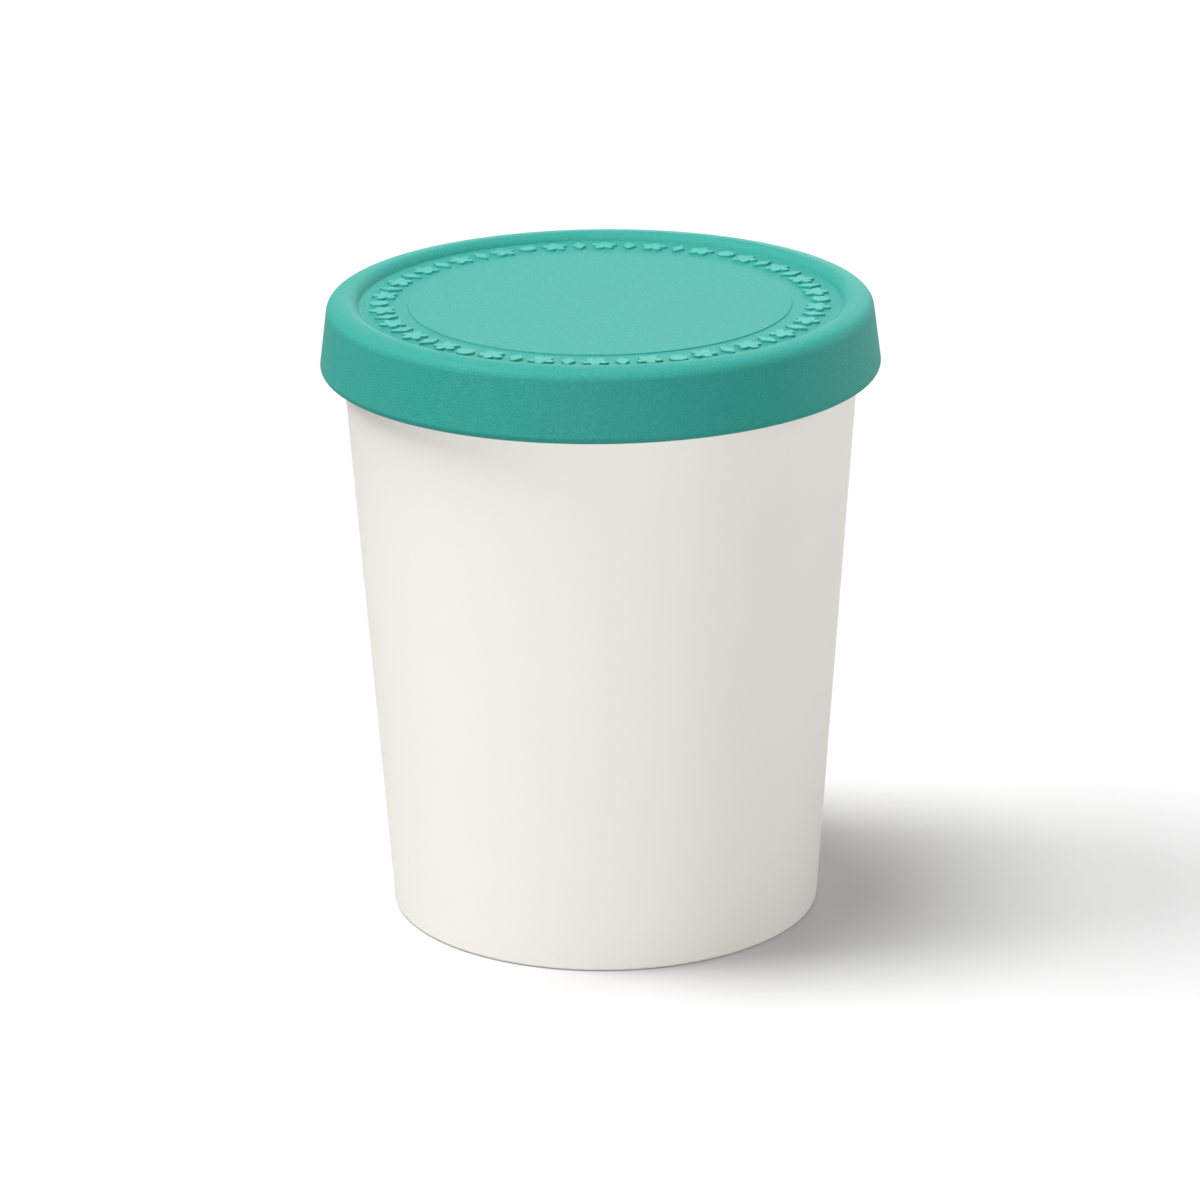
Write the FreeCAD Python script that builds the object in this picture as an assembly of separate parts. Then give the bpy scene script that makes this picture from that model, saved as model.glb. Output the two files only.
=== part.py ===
import FreeCAD, Part
import math
import os

"""Reusable ice cream tub: a tapered plastic tub with a soft silicone lid pressed over its rim.

Millimetres. The tub stands on the XY plane with its axis on Z, and the origin is the middle
of its foot. Both pieces are turned about Z. A shut tub is one solid up to its rim.
"""

# ---- tub -----------------------------------------------------------------------------------
tub_height = 144.1            # foot to the top of the rim
base_radius = 50.65           # outside of the wall where it would meet the ground
wall_taper = 3.96             # degrees from upright, wider at the top
base_edge_radius = 0.8        # round between the wall and the foot
foot_width = 4.2              # flat ring that the tub stands on
foot_recess = 1.5             # how far the underside is raised inside that ring
recess_slope = 1.5            # run of the sloping step from the ring up to the underside
rim_overhang = 1.0            # how far the rim flange stands out from the wall at its top
rim_height = 8.0              # depth of the rim flange
rim_edge_radius = 0.7         # round on the flange's upper and lower edges

# ---- lid -----------------------------------------------------------------------------------
side_clearance = 0.2          # between the rim flange and the inside of the skirt
skirt_wall = 3.2              # skirt thickness where it is widest
skirt_draft = 7.5             # degrees from upright, wider at the bottom
lower_edge_radius = 1.5       # round on the outside of the skirt's lower edge
lip_height = 2.6              # bead inside the lower edge that snaps under the flange
lip_gap = 0.75                # left between that bead and the tub's wall
lip_clearance = 1.1           # between the bead and the flange's underside
panel_thickness = 2.0         # the sunk top panel, which lies on the rim
crown_height = 1.9            # the ring's crest above the sunk panel
shoulder_radius = 2.7         # round from the skirt up to the crown
shoulder_end = 75.0           # degrees above level where the shoulder turns into the crown
crown_radius = 10.0           # flatter round from the shoulder up to the crest
crest_to_panel = 2.9          # run of the ring's inner side, from the crest to the panel

# ---- raised work on the panel ----------------------------------------------------------------
disc_gap = 11.5               # flat band between the ring's foot and the middle disc
disc_step = 0.25              # how far the disc stands above the band
band_middle = 5.5             # from the ring's foot in to the middle of the motifs
motif_length = 6.2            # circle round a star's arm ends, and radial length of a lozenge
star_arms = 5
motif_relief = 0.55           # height of the raised work above the band
motif_root = 0.4              # depth that it reaches into the panel
star_arm_width = 2.0          # width of each of a star's arms
lozenge_width = 3.2           # width of a lozenge along the band
dot_radius = 2.1              # round dots between the rows of motifs
dot_from_foot = 4.8           # from the ring's foot in to the dots' centres
border_repeats = 2            # times that the run of rows goes round the lid
first_rows = (53.8, 56.0)     # degrees from dot to dot along the first rows of a run
row_counts = (7, 7, 9)        # motifs in each row of a run, stars first and last


def wall_radius(height):
    """Outside radius of the tub's straight wall at a height."""
    return base_radius + height * math.tan(math.radians(wall_taper))


def vector(point):
    """A profile point (radius, height) as a vector in the XZ plane."""
    return FreeCAD.Vector(point[0], 0, point[1])


def polar(centre, radius, degrees):
    """The point on a profile arc at an angle above level."""
    turn = math.radians(degrees)
    return (centre[0] + radius * math.cos(turn), centre[1] + radius * math.sin(turn))


def line(start, end):
    return Part.makeLine(vector(start), vector(end))


def arc(centre, radius, start, end):
    """Profile arc between two angles in degrees above level."""
    points = [polar(centre, radius, turn) for turn in (start, (start + end) / 2, end)]
    return Part.Arc(*[vector(point) for point in points]).toShape()


def corner_round(before, corner, after, radius):
    """Ends and edge of the round that replaces a corner of the profile."""
    first = vector(before) - vector(corner)
    second = vector(after) - vector(corner)
    half_turn = first.getAngle(second) / 2
    first.normalize()
    second.normalize()
    reach = radius / math.tan(half_turn)
    bisector = first + second
    bisector.normalize()
    centre = vector(corner) + bisector * (radius / math.sin(half_turn))
    start = vector(corner) + first * reach
    end = vector(corner) + second * reach
    middle = centre - bisector * radius
    edge = Part.Arc(start, middle, end).toShape()
    return (start.x, start.z), edge, (end.x, end.z)


def turned(edges):
    """Solid turned about Z from a closed run of profile edges."""
    face = Part.Face(Part.Wire(edges))
    return face.revolve(FreeCAD.Vector(0, 0, 0), FreeCAD.Vector(0, 0, 1), 360)


def rounded_profile(corners):
    """Closed profile from (radius, height, corner round) triples; a round of 0 is a sharp corner."""
    count = len(corners)
    joints = []
    for index, (radius, height, rounding) in enumerate(corners):
        point = (radius, height)
        if rounding:
            before = corners[index - 1][:2]
            after = corners[(index + 1) % count][:2]
            joints.append(corner_round(before, point, after, rounding))
        else:
            joints.append((point, None, point))
    edges = []
    for index, (_, edge, end) in enumerate(joints):
        if edge:
            edges.append(edge)
        edges.append(line(end, joints[(index + 1) % count][0]))
    return edges


# ---- tub -----------------------------------------------------------------------------------
rim_radius = wall_radius(tub_height) + rim_overhang
rim_underside = tub_height - rim_height


def make_tub():
    """Tapered body on a foot ring, with a plain flange round its rim."""
    foot_inner = base_radius - base_edge_radius - foot_width
    return turned(rounded_profile([
        (0, foot_recess, 0),
        (foot_inner - recess_slope, foot_recess, 0),
        (foot_inner, 0, 0),
        (wall_radius(0), 0, base_edge_radius),
        (wall_radius(rim_underside), rim_underside, 0),
        (rim_radius, rim_underside, rim_edge_radius),
        (rim_radius, tub_height, rim_edge_radius),
        (0, tub_height, 0),
    ]))


# ---- lid -----------------------------------------------------------------------------------
bore_radius = rim_radius + side_clearance
lid_radius = bore_radius + skirt_wall
lip_radius = wall_radius(rim_underside) + lip_gap
lip_slope_top = rim_underside - lip_clearance
lip_top = lip_slope_top - (bore_radius - lip_radius)      # the bead's upper side slopes at 45 degrees
lid_bottom = lip_top - lip_height
panel_top = tub_height + panel_thickness
crest_height = panel_top + crown_height


def crest_radius():
    """Radius of the ring's crest, where shoulder and crown meet the drafted skirt smoothly."""
    draft = math.radians(skirt_draft)
    normal = (math.cos(draft), math.sin(draft))
    edge_centre = (lid_radius - lower_edge_radius, lid_bottom + lower_edge_radius)
    skirt_offset = normal[0] * edge_centre[0] + normal[1] * edge_centre[1] + lower_edge_radius
    run = (crown_radius - shoulder_radius) * math.cos(math.radians(shoulder_end))
    rise = (crown_radius - shoulder_radius) * math.sin(math.radians(shoulder_end))
    shoulder_height = crest_height - crown_radius + rise
    shoulder_centre = (skirt_offset - shoulder_radius - normal[1] * shoulder_height) / normal[0]
    return shoulder_centre - run


ring_crest = crest_radius()
ring_foot = ring_crest - crest_to_panel


def make_lid_body():
    """Skirt, soft shoulder, raised ring and sunk panel, without the raised work."""
    edge_centre = (lid_radius - lower_edge_radius, lid_bottom + lower_edge_radius)
    crown_centre = (ring_crest, crest_height - crown_radius)
    shoulder_centre = polar(crown_centre, crown_radius - shoulder_radius, shoulder_end)
    # the inner side is one arc, level at the crest, that ends at the ring's foot
    inner_radius = (crest_to_panel ** 2 + crown_height ** 2) / (2 * crown_height)
    inner_centre = (ring_crest, crest_height - inner_radius)
    inner_turn = math.degrees(math.asin(crest_to_panel / inner_radius))
    disc_radius = ring_foot - disc_gap
    disc_top = panel_top + disc_step
    edges = [
        line((0, tub_height), (bore_radius, tub_height)),
        line((bore_radius, tub_height), (bore_radius, lip_slope_top)),
        line((bore_radius, lip_slope_top), (lip_radius, lip_top)),
        line((lip_radius, lip_top), (lip_radius, lid_bottom)),
        line((lip_radius, lid_bottom), (edge_centre[0], lid_bottom)),
        arc(edge_centre, lower_edge_radius, -90, skirt_draft),
        line(polar(edge_centre, lower_edge_radius, skirt_draft),
             polar(shoulder_centre, shoulder_radius, skirt_draft)),
        arc(shoulder_centre, shoulder_radius, skirt_draft, shoulder_end),
        arc(crown_centre, crown_radius, shoulder_end, 90),
        arc(inner_centre, inner_radius, 90, 90 + inner_turn),
        line((ring_foot, panel_top), (disc_radius, panel_top)),
        line((disc_radius, panel_top), (disc_radius, disc_top)),
        line((disc_radius, disc_top), (0, disc_top)),
        line((0, disc_top), (0, tub_height)),
    ]
    return turned(edges)


def raised(outline):
    """Prism of raised work from an outline drawn flat on the band."""
    face = Part.Face(Part.Wire(outline))
    face.translate(FreeCAD.Vector(0, 0, panel_top - motif_root))
    return face.extrude(FreeCAD.Vector(0, 0, motif_root + motif_relief))


def star():
    """Star with round arm ends, centred on the origin."""
    half = star_arm_width / 2
    straight = motif_length / 2 - half
    edges = []
    for arm in range(star_arms):
        turn = FreeCAD.Rotation(FreeCAD.Vector(0, 0, 1), arm * 360 / star_arms)
        notch = FreeCAD.Vector(half / math.tan(math.pi / star_arms), -half, 0)
        outer = FreeCAD.Vector(straight, -half, 0)
        points = [turn.multVec(point) for point in (
            notch, outer, FreeCAD.Vector(motif_length / 2, 0, 0),
            FreeCAD.Vector(straight, half, 0), FreeCAD.Vector(notch.x, half, 0))]
        edges.append(Part.makeLine(points[0], points[1]))
        edges.append(Part.Arc(points[1], points[2], points[3]).toShape())
        edges.append(Part.makeLine(points[3], points[4]))
    return raised(edges)


def lozenge():
    """Diamond whose long way is radial, centred on the origin."""
    tips = [FreeCAD.Vector(motif_length / 2, 0, 0), FreeCAD.Vector(0, lozenge_width / 2, 0),
            FreeCAD.Vector(-motif_length / 2, 0, 0), FreeCAD.Vector(0, -lozenge_width / 2, 0)]
    return raised([Part.makeLine(tips[index], tips[(index + 1) % 4]) for index in range(4)])


def dot():
    """Round dot centred on the origin."""
    return raised([Part.makeCircle(dot_radius)])


def placed(shape, radius, degrees):
    """Copy of a motif moved out along X and turned about Z."""
    copy = shape.copy()
    copy.translate(FreeCAD.Vector(radius, 0, 0))
    copy.rotate(FreeCAD.Vector(0, 0, 0), FreeCAD.Vector(0, 0, 1), degrees)
    return copy


def motif_turns(turn, count):
    """Angles of a row's motifs from the dot before it, with even gaps, stars first and last."""
    radius = ring_foot - band_middle
    widths = [lozenge_width if index % 2 else motif_length for index in range(count)]
    free = math.radians(turn) * radius - sum(widths) - 2 * dot_radius
    gap = free / (count + 1)
    angles = []
    along = dot_radius
    for width in widths:
        angles.append(math.degrees((along + gap + width / 2) / radius))
        along += gap + width
    return angles


def make_raised_work():
    """Rows of stars and lozenges between round dots, round the whole band."""
    band_radius = ring_foot - band_middle
    dot_ring = ring_foot - dot_from_foot
    last_row = 360 / border_repeats - sum(first_rows)
    shapes = []
    start = 0
    for _ in range(border_repeats):
        for turn, count in zip((*first_rows, last_row), row_counts):
            shapes.append(placed(dot(), dot_ring, start))
            for index, angle in enumerate(motif_turns(turn, count)):
                motif = lozenge() if index % 2 else star()
                shapes.append(placed(motif, band_radius, start + angle))
            start += turn
    return shapes


def make_lid():
    """The whole moulded lid as one solid."""
    return make_lid_body().fuse(make_raised_work()).removeSplitter()


def save(shape, name):
    """Write one solid to parts/ under its node's name."""
    solids = shape.Solids
    assert len(solids) == 1 and solids[0].isValid(), name
    solids[0].exportStep(os.path.join("parts", name + ".step"))
    box = solids[0].BoundBox
    print(f"{name}: {solids[0].Volume / 1000:.1f} cm3, {box.XLength:.2f} x {box.YLength:.2f} mm,"
          f" z {box.ZMin:.2f} to {box.ZMax:.2f}")


os.makedirs("parts", exist_ok=True)
print(f"lid radius {lid_radius:.2f}, crest {ring_crest:.2f}, ring foot {ring_foot:.2f}")
save(make_tub(), "tub")
save(make_lid(), "lid")
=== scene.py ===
import math

import bmesh
import bpy
from mathutils import Matrix, Vector


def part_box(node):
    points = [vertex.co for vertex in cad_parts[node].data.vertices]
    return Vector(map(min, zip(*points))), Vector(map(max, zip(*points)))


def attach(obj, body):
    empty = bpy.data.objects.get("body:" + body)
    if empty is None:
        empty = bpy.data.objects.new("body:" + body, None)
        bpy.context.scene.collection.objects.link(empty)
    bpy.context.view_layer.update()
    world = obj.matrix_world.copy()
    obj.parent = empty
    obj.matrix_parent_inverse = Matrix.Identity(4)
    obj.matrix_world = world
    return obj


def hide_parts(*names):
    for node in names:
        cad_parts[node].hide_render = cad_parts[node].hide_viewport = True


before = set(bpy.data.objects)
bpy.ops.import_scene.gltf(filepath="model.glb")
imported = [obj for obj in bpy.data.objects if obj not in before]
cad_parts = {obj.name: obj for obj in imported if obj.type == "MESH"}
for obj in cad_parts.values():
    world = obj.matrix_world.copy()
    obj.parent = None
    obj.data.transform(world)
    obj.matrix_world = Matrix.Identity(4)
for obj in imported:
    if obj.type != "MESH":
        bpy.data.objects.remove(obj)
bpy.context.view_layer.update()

# A reusable ice cream tub: a turned polypropylene body and a one-piece silicone lid.
# Metres throughout. MM turns the sizes below, which are in millimetres, into metres.
MM = 0.001

# ---- places taken from the frame ----------------------------------------------------------
tub_low, tub_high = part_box("tub")
lid_low, lid_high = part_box("lid")
seat = tub_high.z                       # the lid lies on the tub's rim here
lid_bottom = lid_low.z
crest_height = lid_high.z
lid_radius = (lid_high.x - lid_low.x) / 2
rim_radius = (tub_high.x - tub_low.x) / 2

# ---- tub sizes ----------------------------------------------------------------------------
BASE_RADIUS = 50.65 * MM                # the wall where it would meet the ground
WALL_TAPER = math.radians(3.96)
BASE_EDGE_RADIUS = 0.8 * MM
FOOT_WIDTH = 4.2 * MM
FOOT_RECESS = 1.5 * MM
RIM_HEIGHT = 8.0 * MM
RIM_EDGE_RADIUS = 0.7 * MM

# ---- lid sizes ----------------------------------------------------------------------------
SIDE_CLEARANCE = 0.2 * MM
SKIRT_DRAFT = 7.5                       # degrees
LOWER_EDGE_RADIUS = 1.5 * MM
LIP_GAP = 0.75 * MM
LIP_CLEARANCE = 1.1 * MM
LIP_ROUND = 0.5 * MM
SHOULDER_RADIUS = 2.7 * MM
SHOULDER_END = 75.0                     # degrees above level
CROWN_RADIUS = 10.0 * MM
CROWN_HEIGHT = 1.9 * MM
CREST_TO_PANEL = 2.9 * MM
FOOT_FILLET = 0.35 * MM                 # soft corner between the ring and the panel
DISC_GAP = 11.5 * MM
DISC_STEP = 0.25 * MM
DISC_ROUND = 0.12 * MM

# ---- raised border ------------------------------------------------------------------------
BAND_MIDDLE = 5.5 * MM
DOT_FROM_FOOT = 4.8 * MM
MOTIF_LENGTH = 6.2 * MM
MOTIF_RELIEF = 0.55 * MM
MOTIF_ROUND = 0.16 * MM                 # soft upper edge of the raised work
MOTIF_DRAFT = 0.08 * MM                 # how much wider a motif is at its foot
STAR_ARMS = 5
STAR_ARM_WIDTH = 2.0 * MM
LOZENGE_WIDTH = 3.2 * MM
LOZENGE_ROUND = 0.3 * MM
DOT_RADIUS = 2.1 * MM
BORDER_REPEATS = 2
FIRST_ROWS = (53.8, 56.0)               # degrees from dot to dot
ROW_COUNTS = (7, 7, 9)

TURN_STEPS = 320                        # faces round a turned piece

# ---- finishes -----------------------------------------------------------------------------
GRAIN_SIZE = 0.36 * MM                  # the silicone's blasted grain
GRAIN_DEPTH = 0.12 * MM
CLOUD_SIZE = 25 * MM                    # faint clouds in its pigment
TOPS_MARGIN = 1.2 * MM                  # keeps the ring's foot from counting as raised work
PEEL_SIZE = 0.6 * MM                    # the polypropylene's orange peel
PEEL_DEPTH = 0.02 * MM
FLOW_SIZE = 18 * MM                     # flow marks from filling the mould

# ---- studio -------------------------------------------------------------------------------
FLOOR_REACH = 6.0                       # metres each way from the middle
SURROUND_LIGHT = 0.1                    # what the surround gives off
SURROUND_WHITE = 1.0                    # how bright it looks
CAMERA_PLACE = (0, -1.1274, 0.4571)
CAMERA_PITCH = 18.793                   # degrees down from level
CAMERA_YAW = 0.035                      # degrees
CAMERA_ROLL = -0.573                    # degrees
CAMERA_LENS = 151.4                     # millimetres
CAMERA_SENSOR = 36.0                    # millimetres across


# ---- small helpers ------------------------------------------------------------------------
def polar(centre, radius, degrees):
    """Point on a profile arc, at an angle above level."""
    turn = math.radians(degrees)
    return (centre[0] + radius * math.cos(turn), centre[1] + radius * math.sin(turn))


def arc(centre, radius, start, end, steps=8):
    """Profile points along an arc, both ends included."""
    return [polar(centre, radius, start + (end - start) * step / steps) for step in range(steps + 1)]


def run(start, end, steps):
    """Profile points along a straight stretch, without its ends."""
    return [(start[0] + (end[0] - start[0]) * step / steps, start[1] + (end[1] - start[1]) * step / steps)
            for step in range(1, steps)]


def corner(before, point, after, radius, steps=6):
    """Profile points that round a corner between two straight stretches."""
    middle, first, last = Vector(point), Vector(before) - Vector(point), Vector(after) - Vector(point)
    half = first.angle(last) / 2
    first.normalize()
    last.normalize()
    centre = middle + (first + last).normalized() * (radius / math.sin(half))
    start = middle + first * (radius / math.tan(half)) - centre
    sweep = start.angle_signed(middle + last * (radius / math.tan(half)) - centre)
    return [tuple(centre + Matrix.Rotation(-sweep * step / steps, 2) @ start) for step in range(steps + 1)]


def ring(mesh, radius, height):
    """Closed ring of vertices round Z."""
    turns = [2 * math.pi * step / TURN_STEPS for step in range(TURN_STEPS)]
    return [mesh.verts.new((radius * math.cos(turn), radius * math.sin(turn), height)) for turn in turns]


def bridge(mesh, lower, upper):
    """Quads between two rings with the same number of vertices."""
    count = len(lower)
    for index in range(count):
        after = (index + 1) % count
        mesh.faces.new((lower[index], lower[after], upper[after], upper[index]))


def turn_profile(mesh, profile):
    """Turns a profile about Z; an end on the axis is closed to a point. Returns its first and last ring."""
    rings = [ring(mesh, *point) for point in profile if point[0] > 0]
    for lower, upper in zip(rings, rings[1:]):
        bridge(mesh, lower, upper)
    for end, edge in ((profile[0], rings[0]), (profile[-1], rings[-1])):
        if end[0] == 0:
            pole = mesh.verts.new((0, 0, end[1]))
            for index in range(TURN_STEPS):
                mesh.faces.new((pole, edge[index], edge[(index + 1) % TURN_STEPS]))
    return rings[0], rings[-1]


def piece_from(mesh, name, material, node):
    """Scene object from a built mesh, standing for a node."""
    bmesh.ops.recalc_face_normals(mesh, faces=mesh.faces)
    data = bpy.data.meshes.new(name)
    mesh.to_mesh(data)
    mesh.free()
    data.shade_smooth()
    data.materials.append(material)
    piece = bpy.data.objects.new(name, data)
    bpy.context.collection.objects.link(piece)
    # large flat faces keep their own normals, so the small rounds beside them shade cleanly
    weighted = piece.modifiers.new("flat_faces_lead", "WEIGHTED_NORMAL")
    weighted.mode = "FACE_AREA"
    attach(piece, "root")
    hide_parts(node)
    return piece


# ---- materials ----------------------------------------------------------------------------
MIX_FACTOR, MIX_A, MIX_B, MIX_OUT = 0, 6, 7, 2      # colour sockets of a Mix node


def linear(code):
    """sRGB hex to linear RGBA."""
    values = [int(code[index:index + 2], 16) / 255 for index in (1, 3, 5)]
    return [v / 12.92 if v <= 0.04045 else ((v + 0.055) / 1.055) ** 2.4 for v in values] + [1.0]


def add(tree, kind, inputs=None, **settings):
    """Adds a node with its settings; a socket given another node's output is linked to it."""
    node = tree.nodes.new(kind)
    for key, value in settings.items():
        setattr(node, key, value)
    for key, value in (inputs or {}).items():
        if isinstance(value, bpy.types.NodeSocket):
            tree.links.new(value, node.inputs[key])
        else:
            node.inputs[key].default_value = value
    return node


def new_material(name):
    """Empty node material."""
    material = bpy.data.materials.new(name)
    material.use_nodes = True
    material.node_tree.nodes.clear()
    return material


def raised_tops(tree, place):
    """1 on the tops of the border's raised work, 0 on the rest of the lid; it places their lower roughness
    and their painted sheen.
    """
    parts = add(tree, "ShaderNodeSeparateXYZ", {"Vector": place})
    across = add(tree, "ShaderNodeCombineXYZ", {"X": parts.outputs["X"], "Y": parts.outputs["Y"]})
    radius = add(tree, "ShaderNodeVectorMath", {0: across.outputs[0]}, operation="LENGTH")
    on_band = add(tree, "ShaderNodeMath", {0: radius.outputs["Value"], 1: ring_foot - TOPS_MARGIN},
                  operation="LESS_THAN")
    high = add(tree, "ShaderNodeMapRange", {
        "Value": parts.outputs["Z"], "From Min": panel + 0.6 * MOTIF_RELIEF,
        "From Max": panel + 0.95 * MOTIF_RELIEF})
    return add(tree, "ShaderNodeMath", {0: high.outputs["Result"], 1: on_band.outputs[0]},
               operation="MULTIPLY").outputs[0]


def moulded_silicone():
    """Silicone rubber pressed in a blasted steel mould: a dull, soft shine over a fine even grain,
    a little shinier on the raised work, whose tops the mould leaves smooth, with a painted sheen that
    colours those tops paler."""
    material = new_material("matt_moulded_silicone")
    tree = material.node_tree
    place = add(tree, "ShaderNodeTexCoord").outputs["Object"]
    tops = raised_tops(tree, place)
    # the blast leaves pits of about 0.2 mm, drawn at 0.36 mm so that they show
    grain = add(tree, "ShaderNodeTexNoise", {"Vector": place, "Scale": 1 / GRAIN_SIZE, "Detail": 1.0})
    # faint clouds in the pigment, about 25 mm across
    clouds = add(tree, "ShaderNodeTexNoise", {"Vector": place, "Scale": 1 / CLOUD_SIZE, "Detail": 2.0})
    speckle = add(tree, "ShaderNodeMix", {MIX_FACTOR: grain.outputs["Fac"], MIX_A: linear("#086E62"),
                                          MIX_B: linear("#3BADA2")}, data_type="RGBA")
    body = add(tree, "ShaderNodeMix", {MIX_FACTOR: clouds.outputs["Fac"], MIX_B: linear("#238F83"),
                                       MIX_A: speckle.outputs[MIX_OUT]}, data_type="RGBA")
    # painted sheen: the tops of the raised work get a paler colour that stands in for the shine of their
    # smooth surface
    colour = add(tree, "ShaderNodeMix", {MIX_FACTOR: tops, MIX_A: body.outputs[MIX_OUT],
                                         MIX_B: linear("#2E9C90")}, data_type="RGBA")
    dullness = add(tree, "ShaderNodeMapRange", {"Value": tops, "To Min": 0.76, "To Max": 0.66})
    bump = add(tree, "ShaderNodeBump", {
        "Strength": 1.0, "Distance": GRAIN_DEPTH, "Height": grain.outputs["Fac"]})
    shader = add(tree, "ShaderNodeBsdfPrincipled", {
        "Base Color": colour.outputs[MIX_OUT], "Roughness": dullness.outputs["Result"], "IOR": 1.41,
        "Normal": bump.outputs["Normal"]})
    add(tree, "ShaderNodeOutputMaterial", {"Surface": shader.outputs["BSDF"]})
    return material


def moulded_polypropylene():
    """Polypropylene from a satin mould: smooth and even, with a broad quiet shine."""
    material = new_material("satin_moulded_polypropylene")
    tree = material.node_tree
    place = add(tree, "ShaderNodeTexCoord").outputs["Object"]
    # orange peel of about 0.6 mm, just enough to soften the shine
    peel = add(tree, "ShaderNodeTexNoise", {"Vector": place, "Scale": 1 / PEEL_SIZE, "Detail": 1.0})
    # flow marks from filling the mould, about 18 mm across
    flow = add(tree, "ShaderNodeTexNoise", {"Vector": place, "Scale": 1 / FLOW_SIZE, "Detail": 1.0})
    colour = add(tree, "ShaderNodeMix", {MIX_FACTOR: flow.outputs["Fac"], MIX_A: linear("#F3F0E9"),
                                         MIX_B: linear("#F5F2EB")}, data_type="RGBA")
    bump = add(tree, "ShaderNodeBump", {
        "Strength": 0.12, "Distance": PEEL_DEPTH, "Height": peel.outputs["Fac"]})
    shader = add(tree, "ShaderNodeBsdfPrincipled", {
        "Base Color": colour.outputs[MIX_OUT], "Roughness": 0.55, "IOR": 1.49,
        "Normal": bump.outputs["Normal"]})
    add(tree, "ShaderNodeOutputMaterial", {"Surface": shader.outputs["BSDF"]})
    return material


# ---- tub ----------------------------------------------------------------------------------
def wall_radius(height):
    """Outside radius of the tub's straight wall at a height."""
    return BASE_RADIUS + height * math.tan(WALL_TAPER)


rim_underside = seat - RIM_HEIGHT


def make_tub():
    """Tapered body on a foot ring, with a plain flange round its rim."""
    foot_inner = BASE_RADIUS - BASE_EDGE_RADIUS - FOOT_WIDTH
    recess_radius = foot_inner - FOOT_RECESS
    base_edge = (wall_radius(0), 0)
    rim_root = (wall_radius(rim_underside), rim_underside)
    profile = [
        (0, FOOT_RECESS),
        *corner((0, FOOT_RECESS), (recess_radius, FOOT_RECESS), (foot_inner, 0), RIM_EDGE_RADIUS),
        *corner((recess_radius, FOOT_RECESS), (foot_inner, 0), base_edge, RIM_EDGE_RADIUS),
        *corner((foot_inner, 0), base_edge, rim_root, BASE_EDGE_RADIUS),
        *run(base_edge, rim_root, 12),
        rim_root,
        *corner(rim_root, (rim_radius, rim_underside), (rim_radius, seat), RIM_EDGE_RADIUS),
        *corner((rim_radius, rim_underside), (rim_radius, seat), (0, seat), RIM_EDGE_RADIUS),
        (0, seat),
    ]
    mesh = bmesh.new()
    turn_profile(mesh, profile)
    return piece_from(mesh, "tub_body", moulded_polypropylene(), "tub")


# ---- lid ----------------------------------------------------------------------------------
panel = crest_height - CROWN_HEIGHT
edge_centre = (lid_radius - LOWER_EDGE_RADIUS, lid_bottom + LOWER_EDGE_RADIUS)


def crest_radius():
    """Radius of the ring's crest, where shoulder and crown meet the drafted skirt smoothly."""
    normal = polar((0, 0), 1, SKIRT_DRAFT)
    offset = normal[0] * edge_centre[0] + normal[1] * edge_centre[1] + LOWER_EDGE_RADIUS
    reach, rise = polar((0, 0), CROWN_RADIUS - SHOULDER_RADIUS, SHOULDER_END)
    shoulder_height = crest_height - CROWN_RADIUS + rise
    return (offset - SHOULDER_RADIUS - normal[1] * shoulder_height) / normal[0] - reach


ring_crest = crest_radius()
ring_foot = ring_crest - CREST_TO_PANEL
disc_radius = ring_foot - DISC_GAP


def lid_outside():
    """Profile from the middle of the lid's underside, round the skirt and crown, to the sunk band."""
    bore_radius = rim_radius + SIDE_CLEARANCE
    lip_radius = wall_radius(rim_underside) + LIP_GAP
    slope_top = rim_underside - LIP_CLEARANCE
    lip_top = slope_top - (bore_radius - lip_radius)
    crown_centre = (ring_crest, crest_height - CROWN_RADIUS)
    shoulder_centre = polar(crown_centre, CROWN_RADIUS - SHOULDER_RADIUS, SHOULDER_END)
    inner_radius = (CREST_TO_PANEL ** 2 + CROWN_HEIGHT ** 2) / (2 * CROWN_HEIGHT)
    inner_turn = math.degrees(math.asin(CREST_TO_PANEL / inner_radius))
    inner = arc((ring_crest, crest_height - inner_radius), inner_radius, 90, 90 + inner_turn, 14)
    foot = inner[-1]
    return [
        (0, seat),
        (bore_radius, seat),
        (bore_radius, slope_top),
        *corner((bore_radius, slope_top), (lip_radius, lip_top), (lip_radius, lid_bottom), LIP_ROUND),
        *corner((lip_radius, lip_top), (lip_radius, lid_bottom), (lid_radius, lid_bottom), LIP_ROUND),
        *arc(edge_centre, LOWER_EDGE_RADIUS, -90, SKIRT_DRAFT, 12),
        *arc(shoulder_centre, SHOULDER_RADIUS, SKIRT_DRAFT, SHOULDER_END, 14),
        *arc(crown_centre, CROWN_RADIUS, SHOULDER_END, 90, 6)[1:],
        *inner[1:-2],
        *corner(inner[-3], foot, (disc_radius, panel), FOOT_FILLET),
    ]


def star_outline():
    """Star with round arm ends, counter-clockwise from the notch before its first arm."""
    half = STAR_ARM_WIDTH / 2
    tip = MOTIF_LENGTH / 2 - half
    points = []
    for arm in range(STAR_ARMS):
        turn = Matrix.Rotation(2 * math.pi * arm / STAR_ARMS, 2)
        arm_points = [(half / math.tan(math.pi / STAR_ARMS), -half), *arc((tip, 0), half, -90, 90, 8)]
        points.extend(turn @ Vector(point) for point in arm_points)
    return points


def lozenge_outline():
    """Diamond with softened tips, its long way radial."""
    tips = [(MOTIF_LENGTH / 2, 0), (0, LOZENGE_WIDTH / 2), (-MOTIF_LENGTH / 2, 0), (0, -LOZENGE_WIDTH / 2)]
    points = []
    for index, tip in enumerate(tips):
        points.extend(Vector(point) for point in corner(tips[index - 1], tip, tips[(index + 1) % 4],
                                                        LOZENGE_ROUND))
    return points


def dot_outline():
    return [Vector(point) for point in arc((0, 0), DOT_RADIUS, 0, 352.5, 47)]


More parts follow.
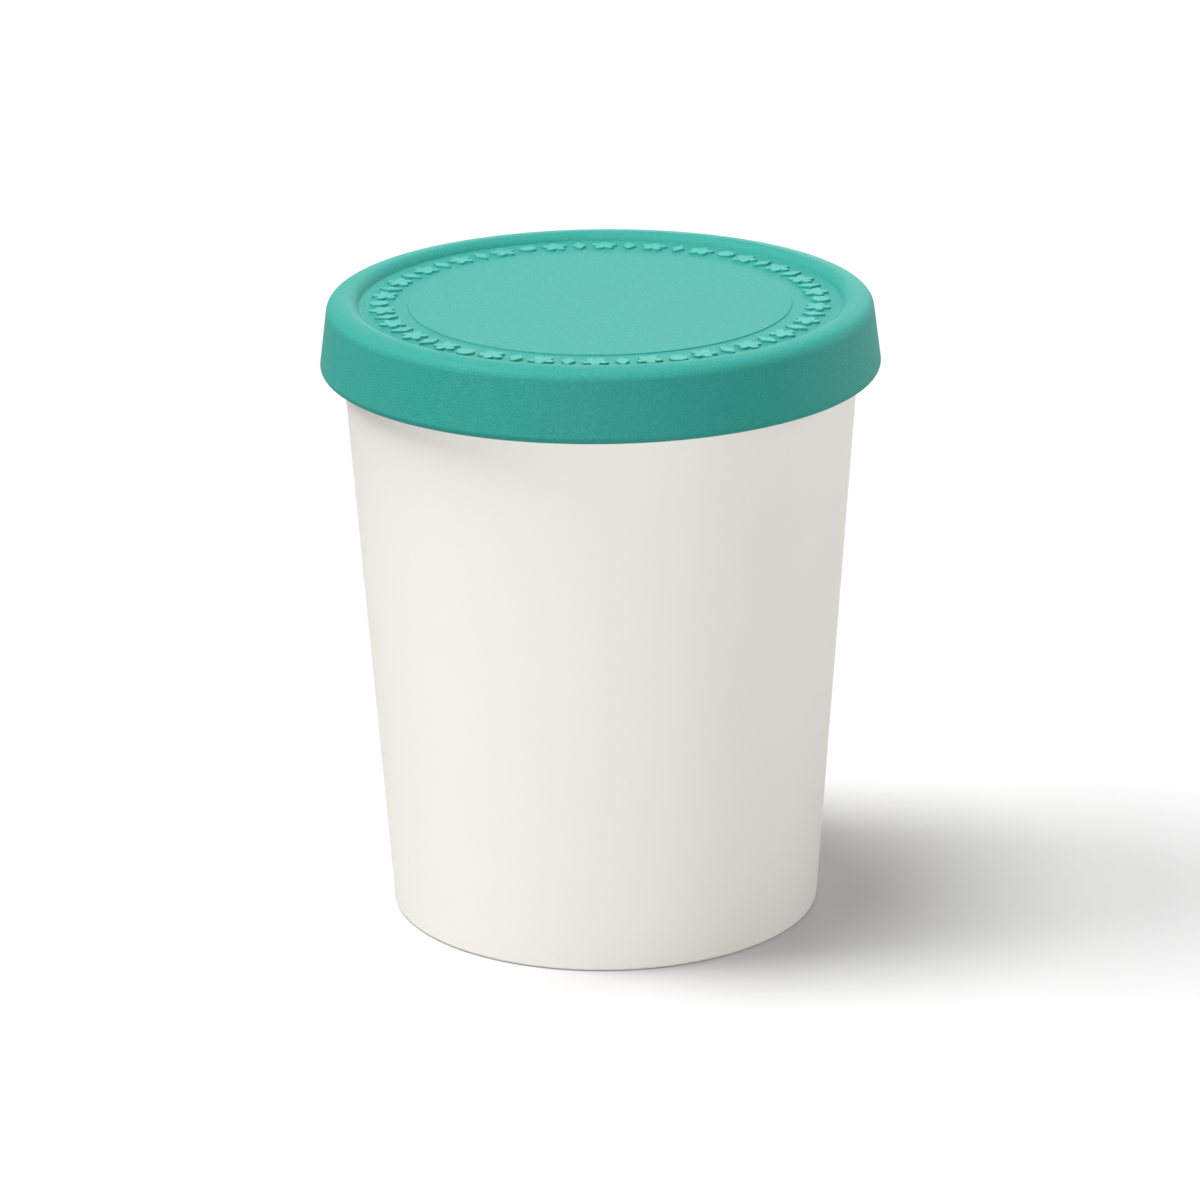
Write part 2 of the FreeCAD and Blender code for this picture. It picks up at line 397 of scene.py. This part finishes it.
def grown(outline, distance):
    """The outline moved outwards by a distance, or inwards when it is negative."""
    moved = []
    for index, point in enumerate(outline):
        before = point - outline[index - 1]
        after = outline[(index + 1) % len(outline)] - point
        first = Vector((before.y, -before.x)).normalized()
        second = Vector((after.y, -after.x)).normalized()
        moved.append(point + (first + second) * (distance / (1 + first.dot(second))))
    return moved


def raise_motif(mesh, outline, radius, degrees):
    """Raised work on the band: a soft foot, a drafted side and a rounded top. Returns its foot's edges."""
    fillet = MOTIF_ROUND / 2
    side = [
        *arc((MOTIF_DRAFT + fillet, fillet), fillet, 270, 180, 3),
        *arc((-MOTIF_ROUND, MOTIF_RELIEF - MOTIF_ROUND), MOTIF_ROUND, 0, 90, 4),
    ]
    turn = Matrix.Rotation(math.radians(degrees), 2)
    rings = []
    for distance, height in side:
        places = [turn @ (point + Vector((radius, 0))) for point in grown(outline, distance)]
        rings.append([mesh.verts.new((*place, panel + height)) for place in places])
    for lower, upper in zip(rings, rings[1:]):
        bridge(mesh, lower, upper)
    mesh.faces.new(rings[-1])
    return ring_edges(mesh, rings[0])


def ring_edges(mesh, verts):
    """Edges of a closed ring, made where they are missing."""
    return [mesh.edges.get(pair) or mesh.edges.new(pair) for pair in zip(verts, verts[1:] + verts[:1])]


def motif_turns(turn, count):
    """Angles of a row's motifs from the dot before it, with even gaps, stars first and last."""
    radius = ring_foot - BAND_MIDDLE
    widths = [LOZENGE_WIDTH if index % 2 else MOTIF_LENGTH for index in range(count)]
    gap = (math.radians(turn) * radius - sum(widths) - 2 * DOT_RADIUS) / (count + 1)
    angles = []
    along = DOT_RADIUS
    for width in widths:
        angles.append(math.degrees((along + gap + width / 2) / radius))
        along += gap + width
    return angles


def raise_border(mesh):
    """Rows of stars and lozenges between round dots, round the whole band. Returns all foot edges."""
    rows = (*FIRST_ROWS, 360 / BORDER_REPEATS - sum(FIRST_ROWS))
    edges = []
    start = 0
    for _ in range(BORDER_REPEATS):
        for turn, count in zip(rows, ROW_COUNTS):
            edges += raise_motif(mesh, dot_outline(), ring_foot - DOT_FROM_FOOT, start)
            for index, angle in enumerate(motif_turns(turn, count)):
                outline = lozenge_outline() if index % 2 else star_outline()
                edges += raise_motif(mesh, outline, ring_foot - BAND_MIDDLE, start + angle)
            start += turn
    return edges


def make_lid():
    """The one-piece lid: skirt, crown, sunk band with its raised border, and the middle disc."""
    mesh = bmesh.new()
    _, band_outer = turn_profile(mesh, lid_outside())
    disc_top = panel + DISC_STEP
    band_inner, _ = turn_profile(mesh, [
        *corner((ring_foot, panel), (disc_radius, panel), (disc_radius, disc_top), DISC_ROUND, 3),
        *corner((disc_radius, panel), (disc_radius, disc_top), (0, disc_top), DISC_ROUND, 3),
        (0, disc_top),
    ])
    edges = ring_edges(mesh, band_outer) + ring_edges(mesh, band_inner) + raise_border(mesh)
    bmesh.ops.triangle_fill(mesh, edges=edges, use_beauty=True, normal=(0, 0, 1))
    return piece_from(mesh, "lid_moulding", moulded_silicone(), "lid")


# ---- floor, light and camera ----------------------------------------------------------------
def seen_directly(tree):
    """1 where the camera looks straight at a surface or sees it mirrored, 0 for the light it gives off."""
    path = add(tree, "ShaderNodeLightPath")
    seen = add(tree, "ShaderNodeMath", {0: path.outputs["Is Camera Ray"], 1: path.outputs["Is Glossy Ray"]},
               operation="MAXIMUM")
    seen = add(tree, "ShaderNodeMath", {0: seen.outputs[0], 1: path.outputs["Is Transmission Ray"]},
               operation="MAXIMUM")
    return seen.outputs[0]


def make_floor():
    """Plain pale floor, throwing back only the light of a darker grey one."""
    mesh = bmesh.new()
    bmesh.ops.create_grid(mesh, x_segments=1, y_segments=1, size=FLOOR_REACH)
    data = bpy.data.meshes.new("floor")
    mesh.to_mesh(data)
    mesh.free()
    material = new_material("matt_paper_floor")
    tree = material.node_tree
    colour = add(tree, "ShaderNodeMix", {MIX_FACTOR: seen_directly(tree), MIX_A: linear("#898989"),
                                         MIX_B: linear("#DBDBDB")}, data_type="RGBA")
    shader = add(tree, "ShaderNodeBsdfDiffuse", {"Color": colour.outputs[MIX_OUT]})
    add(tree, "ShaderNodeOutputMaterial", {"Surface": shader.outputs["BSDF"]})
    data.materials.append(material)
    floor = bpy.data.objects.new("floor", data)
    bpy.context.collection.objects.link(floor)


def make_world():
    """A little even light from all round, and a white surround beyond the floor."""
    world = bpy.data.worlds.new("studio")
    bpy.context.scene.world = world
    world.use_nodes = True
    tree = world.node_tree
    tree.nodes.clear()
    light = add(tree, "ShaderNodeBackground", {"Color": (1, 1, 1, 1), "Strength": SURROUND_LIGHT})
    white = add(tree, "ShaderNodeBackground", {"Color": (1, 1, 1, 1), "Strength": SURROUND_WHITE})
    both = add(tree, "ShaderNodeMixShader", {
        0: seen_directly(tree), 1: light.outputs[0], 2: white.outputs[0]})
    add(tree, "ShaderNodeOutputWorld", {"Surface": both.outputs[0]})


def make_lamp(name, azimuth, elevation, level, spread):
    """Distant softbox. Azimuth, elevation and spread are in degrees, azimuth from +X towards +Y, and
    level is how bright it makes a white surface that faces it."""
    data = bpy.data.lights.new(name, "SUN")
    data.energy = math.pi * level
    data.angle = math.radians(spread)
    lamp = bpy.data.objects.new(name, data)
    turn, lift = math.radians(azimuth), math.radians(elevation)
    source = Vector((math.cos(turn) * math.cos(lift), math.sin(turn) * math.cos(lift), math.sin(lift)))
    lamp.rotation_mode = "QUATERNION"
    lamp.rotation_quaternion = source.to_track_quat("Z", "Y")
    bpy.context.collection.objects.link(lamp)


def make_camera():
    """Long lens, a little above the lid and looking down on it."""
    data = bpy.data.cameras.new("camera")
    data.sensor_width = CAMERA_SENSOR
    data.lens = CAMERA_LENS
    data.clip_start, data.clip_end = 0.05, 20.0
    camera = bpy.data.objects.new("camera", data)
    pitch, yaw, roll = (math.radians(turn) for turn in (CAMERA_PITCH, CAMERA_YAW, CAMERA_ROLL))
    camera.matrix_world = (Matrix.Translation(CAMERA_PLACE) @ Matrix.Rotation(yaw, 4, "Z")
                           @ Matrix.Rotation(math.pi / 2 - pitch, 4, "X") @ Matrix.Rotation(roll, 4, "Z"))
    bpy.context.collection.objects.link(camera)
    bpy.context.scene.camera = camera


make_tub()
make_lid()
make_floor()
make_world()
make_lamp("key_left", 180, 50, 0.67, 30)
make_lamp("overhead", 180, 80, 0.70, 26)
make_lamp("front_fill", -91, 8, 0.66, 24)
make_lamp("back_strip", 84, 8, 0.37, 24)
make_lamp("right_back_strip", 33, 9, 0.46, 24)
make_camera()

bpy.context.scene.view_settings.view_transform = "Standard"
